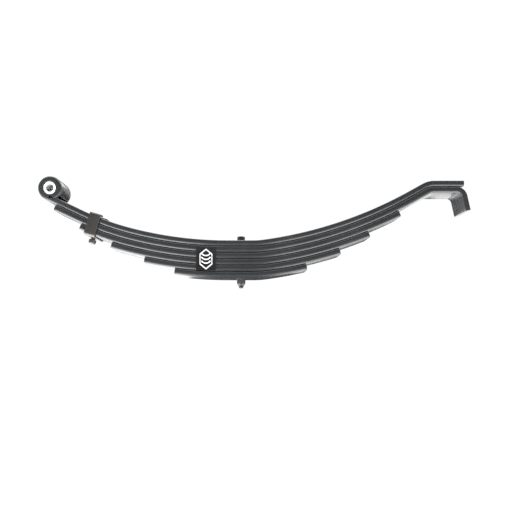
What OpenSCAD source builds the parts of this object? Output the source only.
// Six-leaf slipper spring for a trailer axle, with its ends up and free of load.
// Origin: where the centre bolt leaves the top face of the main leaf, in the middle of the axle seat.
// +X runs back along the spring to the slipper end, +Y across its width, +Z up.
// Each leaf is cut at the edges of the axle seat: a clamped middle and two arms that hinge on it.

/* [Leaf steel] */
// Width of every leaf
leaf_w = 44.45; // [38:0.05:63.5]
// Thickness of every leaf
leaf_t = 9.5; // [8:0.1:9.5]
// Height from one leaf to the next
leaf_pitch = 10; // [10:0.1:10.6]

/* [Shape of the pack, on the top face of the main leaf] */
// Half length of the axle seat, where the leaves are clamped
seat_half = 20; // [18:1:24]
// Radius of the inner stretch of the front arms
front_r1 = 610; // [580:10:640]
// Turn of the inner stretch of the front arms, in degrees
front_a1 = 14.6; // [14:0.1:15]
// Radius of the outer stretch of the front arms
front_r2 = 427; // [400:1:450]
// Turn of the outer stretch of the front arms, in degrees
front_a2 = 10.8; // [10.5:0.1:11.5]
// Radius of the inner stretch of the rear arms
rear_r1 = 100; // [90:5:140]
// Turn of the inner stretch of the rear arms, in degrees
rear_a1 = 7.6; // [7.4:0.1:7.9]
// Radius of the outer stretch of the rear arms
rear_r2 = 655; // [650:5:665]
// Turn of the outer stretch of the rear arms, in degrees
rear_a2 = 21.5; // [21.2:0.1:21.8]

/* [Leaf ends, measured along X from the centre bolt] */
// Front ends of the second to the sixth leaf, at their lower corners
front_ends = [295.1, 255, 205.6, 153.3, 105.3];
// Rear ends of the third to the sixth leaf, at their lower corners
rear_ends = [252, 203.6, 157.5, 104.5];

/* [Eye] */
// Distance from the centre bolt to the eye
eye_x = 300.7; // [296:0.1:306]
// Outer diameter of the bushing
bushing_od = 19.05; // [17:0.05:22]
// Bore of the bushing, for a half-inch bolt
bushing_id = 12.7; // [10:0.1:14]
// Gap where the rolled end comes back to the leaf
eye_slot = 1.4; // [0.5:0.1:1.9]

/* [Slipper and hook] */
// Height of the slipper pad above the axle seat
slipper_rise = 93.9; // [90:0.1:98]
// Radius of the bend into the slipper pad
slipper_r = 38; // [34:1:44]
// Rear end of the slipper pad
slipper_end = 350.5; // [345:0.1:355]
// Where the hook starts to bend down
hook_x = 339.1; // [335:0.1:342]
// Outer radius of the hook's bend
hook_r = 17; // [15:0.5:20]
// Turn of the hook, in degrees
hook_a = 77; // [70:1:84]
// Straight length of the hook below its bend
hook_drop = 24; // [18:0.5:30]

/* [Centre bolt] */
// Shank diameter, a 5/16 inch bolt
bolt_d = 7.94; // [7.5:0.01:9.5]
// Diameter of the round locating head
bolt_head_d = 12.7; // [12:0.1:14.5]
// Height of the locating head
bolt_head_h = 9; // [6:0.5:10]
// Width of the nut across its flats
nut_af = 12.7; // [12:0.1:14.5]
// Height of the nut
nut_h = 11; // [9:0.5:12]
// Height of the cone at the bottom of the nut
nut_cone_h = 4; // [1:0.5:5]
// How far the bolt stands out of the nut
bolt_stub = 3.5; // [3:0.5:8]

/* [Rebound clip] */
// Heading of the front arms at the clip, in degrees
clip_a = 22.4; // [21:0.1:24]
// How far the clip leans from square to the leaves, in degrees
clip_lean = 5.5; // [0:0.5:6]
// Width of the clip's strap, along the spring
clip_w = 17.7; // [16:0.1:20]
// Thickness of the strap
clip_t = 2.4; // [2:0.1:3]
// Room between the strap's folded ends and the main leaf
clip_room = 2.1; // [2:0.1:2.6]
// Length of each folded end, across the spring
clip_fold = 13; // [8:1:18]
// Diameter of the rivet's head
rivet_head_d = 11.8; // [10:0.1:14]
// Height of the rivet's head
rivet_head_h = 8; // [6:0.5:9]
// Bare shank between the strap and the rivet's head
rivet_neck = 2.5; // [0.5:0.1:4]

/* [Label] */
// Width of the square label
label_w = 31; // [24:1:34]
// Height of the label
label_h = 35; // [28:1:38]

/* [Hidden] */
$fn = 96;

knuckle_gap = 0.2;     // between an arm's round root and the hollow that it turns in
knuckle_trim = 1.7;    // how far the middles stop short of the hinges
bolt_hole_d = bolt_d + 0.6;
bushing_room = 0.05;   // radial running clearance of the bushing in the eye
eye_bore_r = bushing_od / 2 + bushing_room;
arc_step = 1;          // degrees between the points of an arc
root_steps = 16;
eye_sides = 90;
thread_chamfer = 1.2;
nut_rim = 1.6;         // difference between the cone's small end and the bolt
head_chamfer = 1;
rivet_d = 6.4;
rivet_hole_d = rivet_d + 0.6;
clip_side_room = 0.4;
touch = 0.05;          // clearance of pieces that bear on each other
label_t = 0.5;
label_x = -55;         // middle of the label
label_z = -30;
paint = [0.09, 0.09, 0.10];
zinc = [0.20, 0.20, 0.21];
nylon = [0.93, 0.92, 0.88];

// A path is a list of [radius, turn] arcs and [0, length] straights on the top face of the main leaf.
// A positive turn bends up, and a negative one down.
function tail(path) = [for (i = [1:1:len(path) - 1]) path[i]];
function turn(s) = s[0] == 0 ? 0 : s[1];
function run_x(s, a) = s[0] == 0 ? s[1] * cos(a) : sign(s[1]) * s[0] * (sin(a + s[1]) - sin(a));
function run_z(s, a) = s[0] == 0 ? s[1] * sin(a) : sign(s[1]) * s[0] * (cos(a) - cos(a + s[1]));
function end_x(path, a = 0) = len(path) == 0 ? 0
    : run_x(path[0], a) + end_x(tail(path), a + turn(path[0]));
function end_z(path, a = 0) = len(path) == 0 ? 0
    : run_z(path[0], a) + end_z(tail(path), a + turn(path[0]));

// The path cut short, where a corner at the given depth below it reaches x_end.
function cut_path(path, x_end, depth, x = 0, a = 0) =
    let (s = path[0], b = a + turn(s), x2 = x + run_x(s, a))
    x2 + depth * sin(b) <= x_end
        ? concat([s], cut_path(tail(path), x_end, depth, x2, b))
        : s[0] == 0
            ? [[0, (x_end - x - depth * sin(a)) / cos(a)]]
            : [[s[0], asin((x_end - x + s[0] * sin(a)) / (s[0] + depth)) - a]];

front_a = front_a1 + front_a2;
rear_a = rear_a1 + rear_a2;
front_curve = [[front_r1, front_a1], [front_r2, front_a2]];
rear_curve = [[rear_r1, rear_a1], [rear_r2, rear_a2]];
front_straight = (eye_x - seat_half + eye_bore_r * sin(front_a) - end_x(front_curve)) / cos(front_a);
front_path = concat(front_curve, [[0, front_straight]]);
rear_straight = (slipper_rise - end_z(rear_curve) - slipper_r * (1 - cos(rear_a))) / sin(rear_a);
to_pad = concat(rear_curve, [[0, rear_straight], [slipper_r, -rear_a]]);
pad_x = seat_half + end_x(to_pad);
slipper_path = concat(to_pad, [[0, slipper_end - pad_x]]);
hook_path = concat(
    to_pad,
    [[0, hook_x - pad_x], [hook_r + leaf_pitch, -hook_a], [0, hook_drop]]
);

// Points along a path, at a depth below the main leaf's top face.
function path_points(path, depth, x = 0, z = 0, a = 0) =
    len(path) == 0
        ? [[x + depth * sin(a), z - depth * cos(a)]]
        : let (s = path[0], n = s[0] == 0 ? 1 : ceil(abs(s[1]) / arc_step))
          concat(
              [for (i = [0:1:n - 1])
                  let (part = [s[0], s[1] * i / n], b = a + turn(part))
                  [x + run_x(part, a) + depth * sin(b), z + run_z(part, a) - depth * cos(b)]],
              path_points(tail(path), depth, x + run_x(s, a), z + run_z(s, a), a + turn(s))
          );

function backwards(list) = [for (i = [len(list) - 1:-1:0]) list[i]];

// Side view of an arm: its two faces, and the round root on which it turns.
module arm_outline(path, depth) {
    root = [for (i = [1:1:root_steps - 1])
        let (b = -90 - 180 * i / root_steps)
        [leaf_t / 2 * cos(b), -depth - leaf_t / 2 + leaf_t / 2 * sin(b)]];
    polygon(concat(path_points(path, depth), backwards(path_points(path, depth + leaf_t)), root));
}

// Follows a path to its end and draws there.
module at_end(path) {
    if (len(path) == 0)
        children();
    else
        translate([run_x(path[0], 0), run_z(path[0], 0), 0])
            rotate([0, 0, turn(path[0])])
                at_end(tail(path))
                    children();
}

// Stands a flat drawing up on the rear or the front edge of the axle seat.
module rear_side() {
    translate([seat_half, 0, 0])
        rotate([90, 0, 0])
            children();
}

module front_side() {
    mirror([1, 0, 0])
        rear_side()
            children();
}

module arm(path, depth) {
    linear_extrude(leaf_w, center = true)
        arm_outline(path, depth);
}

// The clamped middle of a leaf, hollowed at both ends for its arms' round roots.
module middle(depth) {
    length = 2 * (seat_half - knuckle_trim);
    color(paint)
        translate([0, 0, -depth - leaf_t / 2])
            difference() {
                cube([length, leaf_w, leaf_t], center = true);
                for (x = [-seat_half, seat_half])
                    translate([x, 0, 0])
                        rotate([90, 0, 0])
                            cylinder(h = leaf_w + 2, r = leaf_t / 2 + knuckle_gap, center = true);
                cylinder(h = leaf_t + 2, d = bolt_hole_d, center = true);
            }
}

// The eye's outer outline, with a flat side below.
module eye_disc() {
    r = (eye_bore_r + leaf_t + touch) / cos(180 / eye_sides);
    polygon([for (i = [0:1:eye_sides - 1])
        let (b = -90 + 360 * (i + 0.5) / eye_sides)
        r * [cos(b), sin(b)]]);
}

// The eye drawn at the end of the main leaf: the leaf rolled up round the bushing,
// with its end cut along the leaf's own top face.
module main_leaf_front() {
    color(paint)
        front_side()
            difference() {
                union() {
                    arm(front_path, 0);
                    at_end(front_path)
                        translate([0, eye_bore_r, 0])
                            linear_extrude(leaf_w, center = true)
                                eye_disc();
                }
                at_end(front_path) {
                    translate([0, eye_bore_r, 0])
                        cylinder(h = leaf_w + 2, r = eye_bore_r, center = true);
                    translate([-3 * leaf_t, 0, -leaf_w])
                        cube([3 * leaf_t - eye_slot, eye_slot, 2 * leaf_w]);
                }
            }
}

module main_leaf_middle() {
    middle(0);
}

module main_leaf_rear() {
    color(paint)
        rear_side()
            arm(slipper_path, 0);
}

// Arms of the lower leaves. n is 1 for the second leaf and 5 for the sixth.
module front_arm(n) {
    depth = n * leaf_pitch;
    color(paint)
        front_side()
            arm(cut_path(front_path, front_ends[n - 1] - seat_half, depth + leaf_t), depth);
}

module rear_arm(n) {
    depth = n * leaf_pitch;
    color(paint)
        rear_side()
            arm(cut_path(to_pad, rear_ends[n - 2] - seat_half, depth + leaf_t), depth);
}

module second_leaf_middle() {
    middle(leaf_pitch);
}

module second_leaf_front() {
    front_arm(1);
}

module second_leaf_rear() {
    color(paint)
        rear_side()
            arm(hook_path, leaf_pitch);
}

module third_leaf_middle() {
    middle(2 * leaf_pitch);
}

// The longest leaf that the clip is riveted to.
module third_leaf_front() {
    color(paint)
        difference() {
            front_arm(2);
            at_clip()
                translate([0, clip_bottom, 0])
                    rotate([-90, 0, 0])
                        cylinder(h = clip_t + leaf_t + leaf_pitch / 5, d = rivet_hole_d);
        }
}

module third_leaf_rear() {
    rear_arm(2);
}

module fourth_leaf_middle() {
    middle(3 * leaf_pitch);
}

module fourth_leaf_front() {
    front_arm(3);
}

module fourth_leaf_rear() {
    rear_arm(3);
}

module fifth_leaf_middle() {
    middle(4 * leaf_pitch);
}

module fifth_leaf_front() {
    front_arm(4);
}

module fifth_leaf_rear() {
    rear_arm(4);
}

module sixth_leaf_middle() {
    middle(5 * leaf_pitch);
}

module sixth_leaf_front() {
    front_arm(5);
}

module sixth_leaf_rear() {
    rear_arm(5);
}

module eye_bushing() {
    color(nylon)
        front_side()
            at_end(front_path)
                translate([0, eye_bore_r, 0])
                    difference() {
                        cylinder(h = leaf_w, d = bushing_od, center = true);
                        cylinder(h = leaf_w + 2, d = bushing_id, center = true);
                    }
}

stack_h = 5 * leaf_pitch + leaf_t;

module centre_bolt() {
    length = stack_h + nut_h + bolt_stub;
    color(zinc) {
        cylinder(h = bolt_head_h - head_chamfer, d = bolt_head_d);
        translate([0, 0, bolt_head_h - head_chamfer])
            cylinder(h = head_chamfer, d1 = bolt_head_d, d2 = bolt_head_d - 2 * head_chamfer);
        translate([0, 0, thread_chamfer - length])
            cylinder(h = length - thread_chamfer, d = bolt_d);
        translate([0, 0, -length])
            cylinder(h = thread_chamfer, d1 = bolt_d - 2 * thread_chamfer, d2 = bolt_d);
    }
}

// A lock nut: six-sided at the top and a cone below.
module centre_nut() {
    corners = nut_af / cos(30) + 0.1;
    color(zinc)
        translate([0, 0, -stack_h - touch - nut_h])
            difference() {
                intersection() {
                    cylinder(h = nut_h, d = nut_af / cos(30), $fn = 6);
                    union() {
                        cylinder(h = nut_cone_h, d1 = bolt_d + nut_rim, d2 = corners);
                        translate([0, 0, nut_cone_h])
                            cylinder(h = nut_h - nut_cone_h, d = corners);
                    }
                }
                translate([0, 0, -1])
                    cylinder(h = nut_h + 2, d = bolt_d + 0.1);
            }
}

// Draws on the front arms at the clip, with the main leaf's top face at y = 0.
module at_clip() {
    front_side()
        at_end([[front_r1, front_a1], [front_r2, clip_a - front_a1]])
            rotate([0, 0, -clip_lean])
                children();
}

// Depth of the third leaf's lower face at the low edge of the leaning strap.
clip_depth = let (depth = 2 * leaf_pitch + leaf_t)
    depth * cos(clip_lean) + (clip_w / 2 + depth * sin(clip_lean)) * tan(clip_lean);
clip_top = clip_room + clip_t;
clip_bottom = -clip_depth - touch - clip_t;
clip_half = leaf_w / 2 + clip_side_room + clip_t;

// A strap bent up on both sides of three leaves, with its ends folded over the main leaf.
module rebound_clip() {
    color(paint)
        at_clip()
            difference() {
                union() {
                    translate([-clip_w / 2, clip_bottom, -clip_half])
                        cube([clip_w, clip_t, 2 * clip_half]);
                    for (side = [0, 1])
                        mirror([0, 0, side])
                            translate([-clip_w / 2, clip_bottom, clip_half - clip_t]) {
                                cube([clip_w, clip_top - clip_bottom, clip_t]);
                                translate([0, clip_top - clip_bottom - clip_t, clip_t - clip_fold])
                                    cube([clip_w, clip_t, clip_fold]);
                            }
                }
                translate([0, clip_bottom - 1, 0])
                    rotate([-90, 0, 0])
                        cylinder(h = clip_t + 2, d = rivet_hole_d);
            }
}

module clip_rivet() {
    head_top = clip_bottom - rivet_neck;
    rim_h = rivet_head_h / 2;
    color(paint)
        at_clip()
            translate([0, head_top, 0]) {
                rotate([-90, 0, 0])
                    cylinder(h = rivet_neck + clip_t + leaf_t, d = rivet_d);
                rotate([90, 0, 0])
                    cylinder(h = rim_h, d = rivet_head_d);
                translate([0, -rim_h, 0])
                    rotate([90, 0, 0])
                        cylinder(h = rivet_head_h - rim_h, d1 = rivet_head_d, d2 = rivet_head_d / 2);
            }
}

module maker_label() {
    color([0.02, 0.02, 0.02])
        translate([label_x - label_w / 2, -leaf_w / 2 - touch - label_t, label_z - label_h / 2])
            cube([label_w, label_t, label_h]);
}

main_leaf_middle();
main_leaf_front();
main_leaf_rear();
second_leaf_middle();
second_leaf_front();
second_leaf_rear();
third_leaf_middle();
third_leaf_front();
third_leaf_rear();
fourth_leaf_middle();
fourth_leaf_front();
fourth_leaf_rear();
fifth_leaf_middle();
fifth_leaf_front();
fifth_leaf_rear();
sixth_leaf_middle();
sixth_leaf_front();
sixth_leaf_rear();
eye_bushing();
centre_bolt();
centre_nut();
rebound_clip();
clip_rivet();
maker_label();
